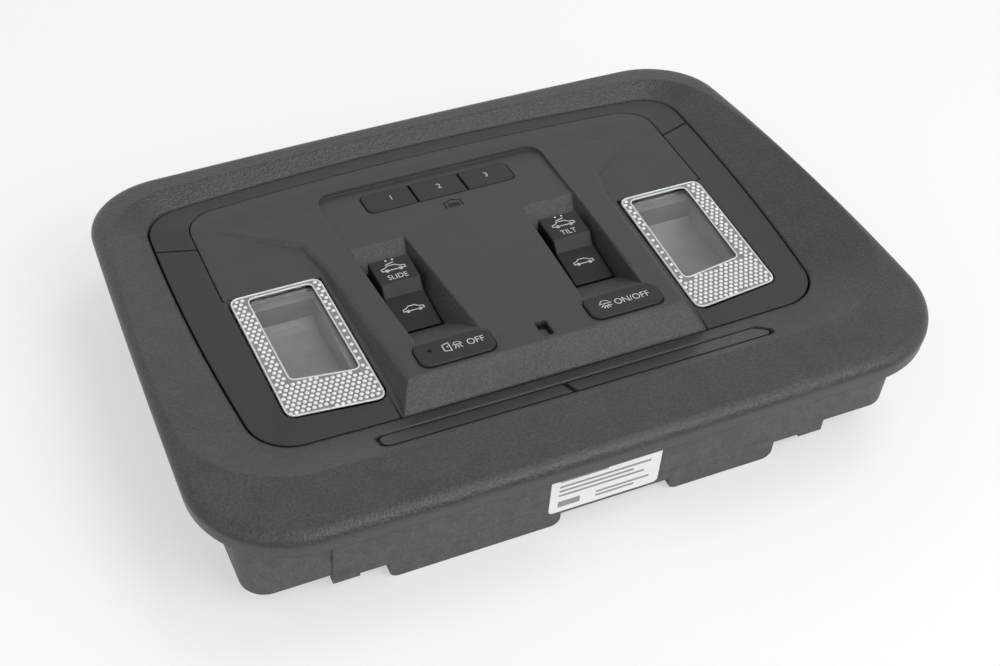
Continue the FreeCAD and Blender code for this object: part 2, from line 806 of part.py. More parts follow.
def make_label():
    corners = ((label_x[0], label_z[0]), (label_x[1], label_z[0]), (label_x[1], label_z[1]),
               (label_x[0], label_z[1]))
    patch = prism(rounded(corners, label_r), -big, big)
    patch.rotate(Vector(0, 0, 0), Vector(1, 0, 0), 90)
    patch.translate(Vector(0, housing_front_y, 0))
    skin = drafted(-land_proud - label_t, 0, sky).cut(drafted(-land_proud, 0, sky))
    return one_solid(patch.common(skin))


def save(name, shape):
    shape.exportStep("parts/" + name + ".step")


def main():
    os.makedirs("parts", exist_ok=True)
    hollow = bezel_hollow()
    save("bezel", make_bezel(hollow))
    shell = housing_shell()
    save("rear_housing", make_housing(hollow, shell))
    save("housing_skirt", make_skirt(shell))
    save("back_plate", make_back_plate())
    save("mount_bosses", make_mount_bosses())
    save("carrier", make_carrier())
    save("trim_far", make_trim_far())
    save("switch_panel", make_panel())
    save("circuit_board", make_board())
    save("tact_switches", make_switches())
    save("connector", make_connector())
    save("connector_pins", make_pins())
    save("housing_screws", make_housing_screws())
    save("board_screws", make_board_screws())
    save("lamp_leds", make_leds())
    save("sensor_window", sensor_window())
    save("label", make_label())
    save("strip_cover_left", strip_cover(True))
    save("strip_cover_right", strip_cover(False))
    handed = {"trim": make_trim_right(), "lens": make_lens(), "lamp_box": make_lamp_box(),
              "rocker": make_rocker()}
    for name, shape in handed.items():
        save(name + "_right", shape)
        save(name + "_left", mirror(shape))
    press = press_button()
    save("dome_button", press)
    save("door_button", mirror(press))
    for index in range(home_count):
        save("home_button_%d" % (index + 1), home_button(index))


main()
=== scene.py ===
import json
import math
import bpy
from mathutils import Matrix, Vector
from mathutils.bvhtree import BVHTree
from mathutils.geometry import convex_hull_2d


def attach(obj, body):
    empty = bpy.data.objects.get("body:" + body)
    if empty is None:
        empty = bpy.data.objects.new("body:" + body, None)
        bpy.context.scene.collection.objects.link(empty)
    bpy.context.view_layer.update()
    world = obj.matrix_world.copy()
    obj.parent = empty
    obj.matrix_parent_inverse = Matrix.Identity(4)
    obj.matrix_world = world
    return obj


# Looks of a car overhead console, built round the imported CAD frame.
# Sizes are written in millimetres and turned into metres where they are placed.
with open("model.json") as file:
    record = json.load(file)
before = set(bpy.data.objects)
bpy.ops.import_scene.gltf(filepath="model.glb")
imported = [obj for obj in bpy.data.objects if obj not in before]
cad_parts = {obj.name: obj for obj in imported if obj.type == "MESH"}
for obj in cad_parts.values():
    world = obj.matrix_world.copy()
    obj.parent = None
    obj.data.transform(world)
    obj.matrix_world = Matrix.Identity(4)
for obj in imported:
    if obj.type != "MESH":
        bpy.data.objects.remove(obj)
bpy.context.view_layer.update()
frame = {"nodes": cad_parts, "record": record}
scene = bpy.context.scene
mm = 0.001
print("frame loaded")


def linear(hexColour):
    parts = [int(hexColour[i:i + 2], 16) / 255 for i in (0, 2, 4)]
    parts = [c / 12.92 if c <= 0.04045 else ((c + 0.055) / 1.055) ** 2.4 for c in parts]
    return (*parts, 1.0)


def perMm(size):
    return 1000.0 / size


def addNode(tree, kind, settings=None, values=None, links=None):
    made = tree.nodes.new(kind)
    for key, value in (settings or {}).items():
        setattr(made, key, value)
    for key, value in (values or {}).items():
        made.inputs[key].default_value = value
    for key, source in (links or {}).items():
        tree.links.new(source, made.inputs[key])
    return made


# Where the useful part of each pattern starts and ends
spans = {"tone": (0.35, 0.65), "gloss": (0.3, 0.7), "grain": (0.1, 0.7), "slope": (0.97, 0.85),
         "upright": (0.3, 0.05)}


# Painted highlight and shade on the grain: its tops are painted paler and its pits darker, for the sparkle of
# light on it; on some parts this is painted only on the slopes.
def paintGrainSparkle(tree, colour, height, amount, slopesOnly):
    pit, crest = spans["grain"]
    shade = addNode(tree, "ShaderNodeMapRange", values={"From Min": pit, "From Max": crest,
                    "To Min": 1 - amount, "To Max": 1 + amount}, links={"Value": height}).outputs["Result"]
    if slopesOnly:
        place = addNode(tree, "ShaderNodeNewGeometry")
        parts = addNode(tree, "ShaderNodeSeparateXYZ", links={"Vector": place.outputs["Normal"]})
        level, steep = spans["slope"]
        slope = addNode(tree, "ShaderNodeMapRange", values={"From Min": level, "From Max": steep},
                        links={"Value": parts.outputs["Z"]})
        shade = addNode(tree, "ShaderNodeMix", {"data_type": "FLOAT"}, {2: 1.0},
                        {0: slope.outputs["Result"], 3: shade}).outputs[0]
    return addNode(tree, "ShaderNodeVectorMath", {"operation": "SCALE"},
                   links={0: colour, "Scale": shade}).outputs["Vector"]


# Every material: two tones mottled together, a gloss that drifts a little, and a moulded grain.
def makeMaterial(name, look):
    material = bpy.data.materials.new(name)
    material.use_nodes = True
    tree = material.node_tree
    shader = tree.nodes["Principled BSDF"]
    for key, value in look.get("shader", {}).items():
        shader.inputs[key].default_value = value
    coords = addNode(tree, "ShaderNodeTexCoord")
    mottle = addNode(tree, "ShaderNodeTexNoise", values={"Scale": perMm(look["mottleMm"]), "Detail": 5.0},
                     links={"Vector": coords.outputs["Object"]})
    tone = addNode(tree, "ShaderNodeValToRGB", links={"Fac": mottle.outputs["Fac"]})
    for stop, place, hexColour in zip(tone.color_ramp.elements, spans["tone"], look["tones"]):
        stop.position = place
        stop.color = linear(hexColour)
    gloss = addNode(tree, "ShaderNodeMapRange", values={"From Min": spans["gloss"][0],
                    "From Max": spans["gloss"][1], "To Min": look["rough"][0], "To Max": look["rough"][1]},
                    links={"Value": mottle.outputs["Fac"]})
    grain = addNode(tree, "ShaderNodeTexVoronoi", values={"Scale": perMm(look["grainMm"])},
                    links={"Vector": coords.outputs["Object"]})
    depth = look["deepMm"] * mm
    bump = addNode(tree, "ShaderNodeBump", values={"Strength": look["grain"], "Distance": depth},
                   links={"Height": grain.outputs["Distance"]})
    if "edgeMm" in look:
        edges = addNode(tree, "ShaderNodeBevel", {"samples": 4}, {"Radius": look["edgeMm"] * mm})
        tree.links.new(edges.outputs["Normal"], bump.inputs["Normal"])
    colour = tone.outputs["Color"]
    # painted highlight on the grain's tops and painted shade in its pits, where the look asks for it
    if "paintedSparkle" in look:
        slopesOnly = look.get("slopesOnly", False)
        colour = paintGrainSparkle(tree, colour, grain.outputs["Distance"], look["paintedSparkle"], slopesOnly)
    tree.links.new(colour, shader.inputs["Base Color"])
    tree.links.new(gloss.outputs["Result"], shader.inputs["Roughness"])
    tree.links.new(bump.outputs["Normal"], shader.inputs["Normal"])
    return material


# The CAD nodes' materials, by the record's slots, each named for what the real one is made of.
# Etched grains are too fine to show in the render, so they are drawn coarser than they are.
looks = {
    # ABS moulded in an etched tool: charcoal, with a pebble grain that sparkles where light grazes it; part
    # of the sparkle is painted, as paler grain tops and darker pits
    "bezel_plastic": {"made": "pebbledAbs", "tones": ("2f2f32", "353538"), "mottleMm": 14.0,
                      "rough": (0.34, 0.42), "grainMm": 0.95, "grain": 1.0, "deepMm": 0.13, "edgeMm": 2.0,
                      "paintedSparkle": 0.36, "shader": {"Specular IOR Level": 0.4}},
    # polypropylene with talc, moulded and left bare: paler, blotchy and dull, with a little painted highlight
    # and shade on its grain
    "housing_plastic": {"made": "talcPolypropylene", "tones": ("4c4c4b", "5a5a58"), "mottleMm": 5.0,
                        "rough": (0.5, 0.68), "grainMm": 0.9, "grain": 0.4, "deepMm": 0.05, "edgeMm": 0.8,
                        "paintedSparkle": 0.18, "shader": {"Specular IOR Level": 0.32}},
    # nylon moulded with glass fibre: dull black, the dark at the bottom of the seams
    "inner_plastic": {"made": "glassFilledNylon", "tones": ("0e0e0f", "131314"), "mottleMm": 12.0,
                      "rough": (0.6, 0.7), "grainMm": 0.8, "grain": 0.3, "deepMm": 0.03,
                      "shader": {"Specular IOR Level": 0.15}},
    # ABS moulded with a fine etch: smooth matt charcoal, with painted highlight and shade on its grain only
    # on the slopes
    "trim_plastic": {"made": "fineEtchedAbs", "tones": ("373738", "3b3b3c"), "mottleMm": 14.0,
                     "rough": (0.44, 0.52), "grainMm": 0.7, "grain": 0.8, "deepMm": 0.06, "edgeMm": 1.4,
                     "paintedSparkle": 0.42, "slopesOnly": True, "shader": {"Specular IOR Level": 0.32}},
    # polycarbonate keys under soft black paint: dark, with a low even sheen
    "key_plastic": {"made": "paintedPolycarbonate", "tones": ("212122", "252526"), "mottleMm": 5.0,
                    "rough": (0.36, 0.44), "grainMm": 0.3, "grain": 0.2, "deepMm": 0.02, "edgeMm": 0.8,
                    "shader": {"Specular IOR Level": 0.25}},
    # acrylic moulded in a polished tool: clear, with sharp lights on it
    "clear_plastic": {"made": "clearAcrylic", "tones": ("f3f5f6", "f8f9fa"), "mottleMm": 14.0,
                      "rough": (0.02, 0.05), "grainMm": 6.0, "grain": 0.03, "deepMm": 0.02,
                      "shader": {"Transmission Weight": 1.0, "IOR": 1.45}},
    # polycarbonate moulded in a blasted tool: the even satin grey inside the lamps
    "reflector_plastic": {"made": "satinPolycarbonate", "tones": ("767678", "848486"), "mottleMm": 12.0,
                          "rough": (0.3, 0.4), "grainMm": 0.6, "grain": 0.15, "deepMm": 0.02},
    # silicone cast over the lamp chip: chalky grey while it is unlit
    "lamp_phosphor": {"made": "castSilicone", "tones": ("a2a2a0", "aaaaa6"), "mottleMm": 1.0,
                      "rough": (0.3, 0.4), "grainMm": 0.3, "grain": 0.1, "deepMm": 0.01},
    # smoked acrylic, moulded: near black and glossy
    "smoked_plastic": {"made": "smokedAcrylic", "tones": ("121214", "161618"), "mottleMm": 4.0,
                       "rough": (0.12, 0.18), "grainMm": 2.0, "grain": 0.03, "deepMm": 0.01},
    # ABS moulded in a blasted tool: dark satin
    "strip_plastic": {"made": "satinAbs", "tones": ("252527", "29292b"), "mottleMm": 12.0,
                      "rough": (0.34, 0.42), "grainMm": 0.5, "grain": 0.08, "deepMm": 0.02},
    # glass and epoxy laminate under lacquer: green with a soft gloss
    "board_laminate": {"made": "lacqueredLaminate", "tones": ("1d4a30", "225538"), "mottleMm": 3.0,
                       "rough": (0.3, 0.45), "grainMm": 0.8, "grain": 0.2, "deepMm": 0.02},
    # stainless steel, pressed: bright with a soft shine
    "switch_steel": {"made": "pressedSteel", "tones": ("a8a8a8", "b4b4b4"), "mottleMm": 2.0,
                     "rough": (0.3, 0.42), "grainMm": 0.4, "grain": 0.15, "deepMm": 0.01,
                     "shader": {"Metallic": 0.9}},
    # nylon, moulded plain: dull black
    "plug_plastic": {"made": "mouldedNylon", "tones": ("2a2a2a", "303030"), "mottleMm": 5.0,
                     "rough": (0.5, 0.6), "grainMm": 0.6, "grain": 0.2, "deepMm": 0.02},
    # brass, stamped and tinned: pale gold metal
    "contact_brass": {"made": "tinnedBrass", "tones": ("c4ad6c", "d0bb80"), "mottleMm": 1.5,
                      "rough": (0.25, 0.35), "grainMm": 0.3, "grain": 0.1, "deepMm": 0.01,
                      "shader": {"Metallic": 1.0}},
    # steel, zinc plated: cool grey metal
    "screw_steel": {"made": "zincPlatedSteel", "tones": ("9a9b9e", "a6a7aa"), "mottleMm": 2.0,
                    "rough": (0.32, 0.45), "grainMm": 0.4, "grain": 0.2, "deepMm": 0.01,
                    "shader": {"Metallic": 1.0}},
    # vinyl film, rolled: flat clean white
    "sticker_film": {"made": "whiteVinyl", "tones": ("f1f1ef", "f5f5f3"), "mottleMm": 6.0,
                     "rough": (0.45, 0.55), "grainMm": 0.5, "grain": 0.1, "deepMm": 0.01},
}
materials = {slotName: makeMaterial(look["made"], look) for slotName, look in looks.items()}

# Finishes that only the added pieces and a few nodes have
extraLooks = {
    # pad printed ink: pale marks, slightly worn
    "printInk": {"tones": ("b9b9b9", "cfcfcf"), "mottleMm": 1.2, "rough": (0.45, 0.6),
                 "grainMm": 0.3, "grain": 0.1, "deepMm": 0.01},
    # black ink: flat dark lines that read as sunk; the same dark also paints the shade in the seams round the
    # strip covers
    "darkInkAndSeamShade": {"tones": ("0b0b0c", "101011"), "mottleMm": 1.2, "rough": (0.5, 0.6),
                "grainMm": 0.3, "grain": 0.1, "deepMm": 0.01, "shader": {"Specular IOR Level": 0.1}},
    # smoked ink: marks that barely show until they are lit
    "faintInk": {"tones": ("404042", "47474a"), "mottleMm": 1.5, "rough": (0.35, 0.45),
                 "grainMm": 0.3, "grain": 0.1, "deepMm": 0.01},
    # grey ink: plain bars on the sticker
    "stickerInk": {"tones": ("8d8d8c", "9a9a99"), "mottleMm": 1.5, "rough": (0.5, 0.6),
                   "grainMm": 0.3, "grain": 0.1, "deepMm": 0.01},
    # acrylic domes moulded on the lens: the light each throws back is painted on as a near white colour, a
    # painted reflection
    "domeReflectionPaint": {"tones": ("e2e4e6", "ecedef"), "mottleMm": 2.0, "rough": (0.12, 0.2),
                     "grainMm": 1.0, "grain": 0.05, "deepMm": 0.01},
    # flat acrylic between the domes: painted an opaque grey, greyer than they are, as painted shade for the
    # dim inside of the lamp seen through it
    "flatAcrylicPaintedShade": {"tones": ("75787b", "818487"), "mottleMm": 5.0, "rough": (0.15, 0.22),
                    "grainMm": 1.0, "grain": 0.05, "deepMm": 0.01},
    # polished acrylic edge: painted pale for the light it catches, a painted highlight
    "acrylicEdgeHighlight": {"tones": ("c9cdd0", "dde0e2"), "mottleMm": 4.0, "rough": (0.08, 0.14),
                        "grainMm": 2.0, "grain": 0.03, "deepMm": 0.01},
    # etched ABS like the panel's: the ring of trims, a shade darker, with a little painted highlight and
    # shade on its grain
    "darkEtchedAbs": {"tones": ("2a2a2b", "2f2f30"), "mottleMm": 14.0, "rough": (0.44, 0.52),
                      "grainMm": 0.7, "grain": 0.6, "deepMm": 0.05, "edgeMm": 1.0, "paintedSparkle": 0.12,
                      "shader": {"Specular IOR Level": 0.32}},
    # painted polycarbonate like the keys': the rockers, darkest of all
    "darkPolycarbonate": {"tones": ("18181a", "1c1c1d"), "mottleMm": 5.0, "rough": (0.36, 0.44),
                          "grainMm": 0.4, "grain": 0.3, "deepMm": 0.02, "edgeMm": 0.6,
                          "shader": {"Specular IOR Level": 0.25}},
    # matt emulsion paint: the pale studio floor
    "floorPaint": {"tones": ("f8f8f7", "f9f9f8"), "mottleMm": 400.0, "rough": (0.7, 0.8),
                   "grainMm": 30.0, "grain": 0.02, "deepMm": 0.05},
}
extras = {name: makeMaterial(name, look) for name, look in extraLooks.items()}
print("materials made:", len(materials) + len(extras))


# Painted sheen on the bezel's upright skirt: faces that stand upright are painted a plain grey, paler than
# its grained face.
def paintSkirtSheen(material, sheenTint):
    tree = material.node_tree
    shader = tree.nodes["Principled BSDF"]
    colour = shader.inputs["Base Color"].links[0].from_socket
    place = addNode(tree, "ShaderNodeNewGeometry")
    parts = addNode(tree, "ShaderNodeSeparateXYZ", links={"Vector": place.outputs["Normal"]})
    leaning, straight = spans["upright"]
    upright = addNode(tree, "ShaderNodeMapRange", values={"From Min": leaning, "From Max": straight},
                      links={"Value": parts.outputs["Z"]})
    mixed = addNode(tree, "ShaderNodeMix", {"data_type": "RGBA"}, {7: linear(sheenTint)},
                    {0: upright.outputs["Result"], 6: colour})
    tree.links.new(mixed.outputs[2], shader.inputs["Base Color"])


# a painted sheen: the bezel's upright faces painted a paler grey
paintSkirtSheen(materials["bezel_plastic"], "474747")
ownFinish = {"trim_far": "darkEtchedAbs", "trim_left": "darkEtchedAbs", "trim_right": "darkEtchedAbs",
             "rocker_left": "darkPolycarbonate", "rocker_right": "darkPolycarbonate"}
slotOf = {part["node"]: part["material_slot"] for part in frame["record"]["subparts"]}
for name, solid in frame["nodes"].items():
    if not solid.material_slots:
        solid.data.materials.append(None)
    for place in solid.material_slots:
        place.material = extras[ownFinish[name]] if name in ownFinish else materials[slotOf[name]]
print("CAD nodes dressed:", len(frame["nodes"]))


def addPiece(name, verts, faces, material, body):
    mesh = bpy.data.meshes.new(name)
    mesh.from_pydata([Vector(v) * mm for v in verts], [], faces)
    mesh.update()
    mesh.materials.append(material)
    piece = bpy.data.objects.new(name, mesh)
    scene.collection.objects.link(piece)
    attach(piece, body)
    return piece


surfaces = {}
outside = {"above": 100.0, "front": -200.0}     # where rays start, clear of the part


def surfaceOf(node):
    if node not in surfaces:
        solid = frame["nodes"][node]
        points = [solid.matrix_world @ v.co for v in solid.data.vertices]
        surfaces[node] = BVHTree.FromPolygons(points, [tuple(p.vertices) for p in solid.data.polygons])
    return surfaces[node]


# Where a ray first meets a CAD node, in millimetres
def touch(node, start, way):
    hit = surfaceOf(node).ray_cast(Vector(start) * mm, Vector(way))[0]
    if hit is None:
        raise ValueError("nothing of " + node + " at " + str(start))
    return hit / mm


# The highest point of some CAD nodes at a place
def topOf(nodes, x, y):
    start = Vector((x, y, outside["above"])) * mm
    hits = [surfaceOf(node).ray_cast(start, Vector((0, 0, -1)))[0] for node in nodes]
    return max((hit / mm for hit in hits if hit is not None), key=lambda hit: hit.z)


ink = {"thickMm": 0.03, "lineMm": 0.42, "slatMm": 0.58, "stripMm": 0.5}


# Flat shapes for printed marks: points and the polygons between them
def stroke(points, width, closed=False):
    corners, polygons = [], []
    ends = points[1:] + points[:1] if closed else points[1:]
    for start, end in zip(points, ends):
        a, b = Vector(start), Vector(end)
        along = (b - a).normalized() * width / 2
        across = Vector((-along.y, along.x))
        first = len(corners)
        corners += [a - along + across, a - along - across, b + along - across, b + along + across]
        polygons.append((first, first + 1, first + 2, first + 3))
    return corners, polygons


def disc(x, y, radius, sides=18):
    turns = [2 * math.pi * i / sides for i in range(sides)]
    return [(x + radius * math.cos(t), y + radius * math.sin(t)) for t in turns], [tuple(range(sides))]


def arc(x, y, radius, start, end, width, steps=10):
    turns = [math.radians(start + (end - start) * i / steps) for i in range(steps + 1)]
    return stroke([(x + radius * math.cos(t), y + radius * math.sin(t)) for t in turns], width)


def word(text, height, x=0.0, y=0.0):
    curve = bpy.data.curves.new("word", "FONT")
    curve.body = text
    holder = bpy.data.objects.new("word", curve)
    scene.collection.objects.link(holder)
    bpy.context.view_layer.update()
    mesh = bpy.data.meshes.new_from_object(holder.evaluated_get(bpy.context.evaluated_depsgraph_get()))
    across = [v.co.x for v in mesh.vertices]
    up = [v.co.y for v in mesh.vertices]
    scale = height / (max(up) - min(up))
    middle = ((max(across) + min(across)) / 2, (max(up) + min(up)) / 2)
    narrow = 0.86     # the letters stand closer than the plain font's
    points = [(x + (v.co.x - middle[0]) * scale * narrow, y + (v.co.y - middle[1]) * scale)
              for v in mesh.vertices]
    polygons = [tuple(p.vertices) for p in mesh.polygons]
    bpy.data.objects.remove(holder)
    bpy.data.curves.remove(curve)
    bpy.data.meshes.remove(mesh)
    return points, polygons


# A small car from the side, its roof panel shut or lifted
def carMark(liftedRoof):
    line = ink["lineMm"]
    body = [(-4.2, -0.9), (-4.2, 0.2), (-2.9, 0.5), (-1.7, 1.5),
            (1.1, 1.5), (2.4, 0.5), (4.1, 0.2), (4.2, -0.9)]
    shapes = [stroke(body, line, True)] + [disc(side * 2.5, -1.0, 0.75) for side in (-1, 1)]
    if liftedRoof:
        shapes.append(stroke([(-1.9, 2.2), (0.9, 2.9)], line))
    return shapes


# A roof lamp with its rays
def lampMark():
    line = ink["lineMm"]
    shapes = [arc(0.0, 0.4, 1.9, 0, 180, line), stroke([(-2.4, 0.4), (2.4, 0.4)], line)]
    for turn in (-150, -120, -90, -60, -30):
        reach = Vector((math.cos(math.radians(turn)), math.sin(math.radians(turn))))
        shapes.append(stroke([reach * 1.1, reach * 2.4], line))
    return shapes


# A door standing open beside a roof lamp
def doorMark():
    line = ink["lineMm"]
    door = [(-3.6, -1.7), (-3.6, 1.7), (-1.0, 2.4), (-1.0, -2.4)]
    shapes = [stroke(door, line, True), stroke([(-1.9, 0.0), (-1.9, 0.6)], line)]
    shapes += [arc(2.0, 0.2, 1.5, 0, 180, line), stroke([(0.3, 0.2), (3.7, 0.2)], line)]
    shapes += [stroke([(2.0 + d, -0.5), (2.0 + d * 1.7, -1.8)], line) for d in (-0.8, 0.0, 0.8)]
    return shapes


# A roller door: frame and slats
def rollerMark():
    line = ink["slatMm"]
    shapes = [stroke([(-3.6, -2.4), (-3.6, 1.2), (0.0, 2.8), (3.6, 1.2), (3.6, -2.4)], line)]
    return shapes + [stroke([(-2.3, z), (2.3, z)], line) for z in (-2.1, -1.1, -0.1)]


# A mark rides its own node's body, or the base where it says so.
marks = {}
keyRow = {"firstX": -20.6, "pitch": 21.2, "y": 59.9, "tall": 3.2}
for i, digit in enumerate("123"):
    marks["mark_" + digit] = {"node": "home_button_" + digit, "ink": "printInk",
                              "at": (keyRow["firstX"] + i * keyRow["pitch"], keyRow["y"]),
                              "shapes": [word(digit, keyRow["tall"])]}
marks["mark_roller"] = {"node": "switch_panel", "body": "base", "at": (1.3, 46.2), "ink": "darkInkAndSeamShade",
                        "shapes": rollerMark()}
rockers = {"left": {"far": (-36.75, 15.6), "near": (-36.0, -4.0), "word": "SLIDE"},
           "right": {"far": (36.75, 15.6), "near": (37.0, -3.4), "word": "TILT"}}
for side, facts in rockers.items():
    opened = carMark(True) + [disc(d, 4.2, 0.4) for d in (-1.2, 1.2)] + [word(facts["word"], 2.4, 0.0, -4.5)]
    marks["mark_" + side + "_far"] = {"node": "rocker_" + side, "at": facts["far"], "ink": "printInk",
                                      "scale": 1.15, "shapes": opened}
    marks["mark_" + side + "_near"] = {"node": "rocker_" + side, "at": facts["near"], "ink": "printInk",
                                       "shapes": carMark(False)}
marks.update({
    "mark_door": {"node": "door_button", "at": (-35.2, -40.8), "ink": "printInk",
                  "shapes": doorMark() + [word("OFF", 3.3, 9.2, -0.2)]},
    "mark_door_dot": {"node": "door_button", "at": (-44.0, -40.2), "ink": "darkInkAndSeamShade",
                      "shapes": [disc(0.0, 0.0, 0.9)]},
    "mark_dome": {"node": "dome_button", "at": (27.2, -41.3), "ink": "printInk",
                  "shapes": lampMark() + [word("ON/OFF", 3.3, 11.0, -0.2)]},
    "mark_strip_1": {"node": "strip_cover_right", "body": "base", "at": (47.3, -72.6), "ink": "faintInk",
                     "shapes": [arc(0, 0, 1.8, 30, 330, ink["stripMm"]),
                                stroke([(3.2, -1.8), (3.2, 1.8)], ink["stripMm"])]},
    "mark_strip_2": {"node": "strip_cover_right", "body": "base", "at": (66.8, -72.6), "ink": "faintInk",
                     "shapes": [stroke([(-2.4, -1.6), (0.0, 1.9), (2.4, -1.6)], ink["stripMm"], True)]},
})
for name, mark in marks.items():
    verts, faces = [], []
    scale = mark.get("scale", 1.0)
    for points, polygons in mark["shapes"]:
        first = len(verts)
        for px, py in points:
            start = (mark["at"][0] + px * scale, mark["at"][1] + py * scale, outside["above"])
            verts.append(touch(mark["node"], start, (0, 0, -1)) + Vector((0, 0, ink["thickMm"])))
        faces += [tuple(first + i for i in polygon) for polygon in polygons]
    addPiece(name, verts, faces, extras[mark["ink"]], mark.get("body", mark["node"]))
print("marks printed:", len(marks))

# Plain grey bars on the sticker: the left end, foot, right end and height of each
bars = {"rows": ((-13.5, 25.6, 6.0, 1.7), (-13.5, 22.4, 24.0, 1.1), (-13.5, 19.9, 17.0, 1.1),
                 (-13.5, 17.4, 21.5, 1.1), (-13.5, 11.0, -4.5, 3.4), (2.0, 13.2, 24.0, 1.1),
                 (2.0, 11.0, 18.0, 1.1))}
verts, faces = [], []
for x0, z0, x1, tall in bars["rows"]:
    first = len(verts)
    for px, pz in ((x0, z0), (x1, z0), (x1, z0 + tall), (x0, z0 + tall)):
        hit = touch("label", (px, outside["front"], pz), (0, 1, 0))
        verts.append(hit - Vector((0, ink["thickMm"], 0)))
    faces.append((first, first + 1, first + 2, first + 3))
addPiece("label_bars", verts, faces, extras["stickerInk"], "base")
print("sticker printed")


# Outlines of the lenses
def insetLoop(points, inset):
    moved = []
    for i, here in enumerate(points):
        back = (here - points[i - 1]).normalized()
        on = (points[(i + 1) % len(points)] - here).normalized()
        left = Vector((-on.y, on.x))
        middle = (Vector((-back.y, back.x)) + left).normalized()
        moved.append(here + middle * (inset / middle.dot(left)))
    return moved


def roundLoop(points, radius, steps=6):
    loop = []
    for i, corner in enumerate(points):
        back = (points[i - 1] - corner).normalized()
        on = (points[(i + 1) % len(points)] - corner).normalized()
        reach = radius / math.tan(back.angle(on) / 2)
        start, end = corner + back * reach, corner + on * reach
        for step in range(steps + 1):
            t = step / steps
            loop.append(start * (1 - t) ** 2 + corner * 2 * t * (1 - t) + end * t ** 2)
    return loop


def insideBy(points, p):
    depths = []
    for i, corner in enumerate(points):
        along = (points[(i + 1) % len(points)] - corner).normalized()
        depths.append(along.x * (p.y - corner.y) - along.y * (p.x - corner.x))
    return min(depths)


def tubeLoop(loop, height, radius, sides=8):
    verts, faces = [], []
    for i, here in enumerate(loop):
        along = (loop[(i + 1) % len(loop)] - loop[i - 1]).normalized()
        for k in range(sides):
            turn = 2 * math.pi * k / sides
            out = radius * math.cos(turn)
            up = radius * math.sin(turn)
            verts.append((here.x + along.y * out, here.y - along.x * out, height(here.y) + up))
    for i in range(len(loop)):
        for k in range(sides):
            a, b = i * sides, (i + 1) % len(loop) * sides
            faces.append((a + k, a + (k + 1) % sides, b + (k + 1) % sides, b + k))
    return verts, faces


lens = {"seat": ((102.6, 23.0), (64.3, 23.0), (62.8, -50.1), (101.3, -46.2)), "cornerR": 5.0,
        "window": ((95.0, 20.2), (68.9, 20.2), (67.4, -31.6), (93.7, -27.7)), "windowR": 3.0,
        "topZ": 50.2, "topY": 23.0, "tilt": 0.012, "edgeInset": 1.2, "edgeR": 0.4, "ridgeR": 0.35,
        "pitch": 2.25, "rowPitch": 2.0, "dotR": 0.86, "dotTall": 0.45, "dotInset": 2.0, "dotClear": 0.9,
        "groundMm": 0.04}
reflector = {"x": (70.1, 95.9), "steps": 12, "start": (15.8, 37.0), "bend": (2.0, 28.6), "end": (-26.0, 40.2)}


def lensTop(y):
    return lens["topZ"] + lens["tilt"] * (y - lens["topY"])


# Places of the staggered domes that cover the lens all round its clear window
def domePlaces(seat, window):
    spots = []
    rows = [p.y / lens["rowPitch"] for p in seat]
    columns = [p.x / lens["pitch"] for p in seat]
    for row in range(math.floor(min(rows)), math.ceil(max(rows)) + 1):
        for column in range(math.floor(min(columns)), math.ceil(max(columns)) + 1):
            spot = Vector(((column + row % 2 / 2) * lens["pitch"], row * lens["rowPitch"]))
            if insideBy(seat, spot) > lens["dotInset"] and insideBy(window, spot) < -lens["dotClear"]:
                spots.append(spot)
    return spots


def domes(spots):
    verts, faces = [], []
    sides, rings = 8, ((1.0, 0.0), (0.8, 0.6), (0.4, 0.92))   # each ring's radius and height, as shares
    for spot in spots:
        first = len(verts)
        for reach, rise in rings:
            for k in range(sides):
                turn = 2 * math.pi * k / sides
                verts.append((spot.x + lens["dotR"] * reach * math.cos(turn),
                              spot.y + lens["dotR"] * reach * math.sin(turn),
                              lensTop(spot.y) + lens["dotTall"] * rise))
        verts.append((spot.x, spot.y, lensTop(spot.y) + lens["dotTall"]))
        for ring in range(len(rings) - 1):
            a, b = first + ring * sides, first + (ring + 1) * sides
            faces += [(a + k, a + (k + 1) % sides, b + (k + 1) % sides, b + k) for k in range(sides)]
        last = first + (len(rings) - 1) * sides
        faces += [(last + k, last + (k + 1) % sides, first + len(rings) * sides) for k in range(sides)]
    return verts, faces


# The even ground under the domes, from the rim in to the window's ridge: a sheet painted grey, painted shade
# for the dim lamp seen through the clear acrylic
def domeGround(outer, inner):
    loops = outer + inner
    verts = [(p.x, p.y, lensTop(p.y) + lens["groundMm"]) for p in loops]
    count = len(outer)
    return verts, [(i, (i + 1) % count, count + (i + 1) % count, count + i) for i in range(count)]


# A smooth pale scoop over the lamp, from the far wall down and up the ramp
def reflectorCove():
    start, bend, end = (Vector(reflector[key]) for key in ("start", "bend", "end"))
    verts = []
    for i in range(reflector["steps"] + 1):
        k = i / reflector["steps"]
        y, z = start * (1 - k) ** 2 + bend * 2 * k * (1 - k) + end * k ** 2
        verts += [(x, y, z) for x in reflector["x"]]
    return verts, [(2 * i, 2 * i + 1, 2 * i + 3, 2 * i + 2) for i in range(reflector["steps"])]


seat = [Vector(p) for p in lens["seat"]]
window = [Vector(p) for p in lens["window"]]
spots = domePlaces(seat, window)
rimLoop = roundLoop(insetLoop(seat, lens["edgeInset"]), lens["cornerR"] - lens["edgeInset"])
ridgeLoop = roundLoop(window, lens["windowR"])
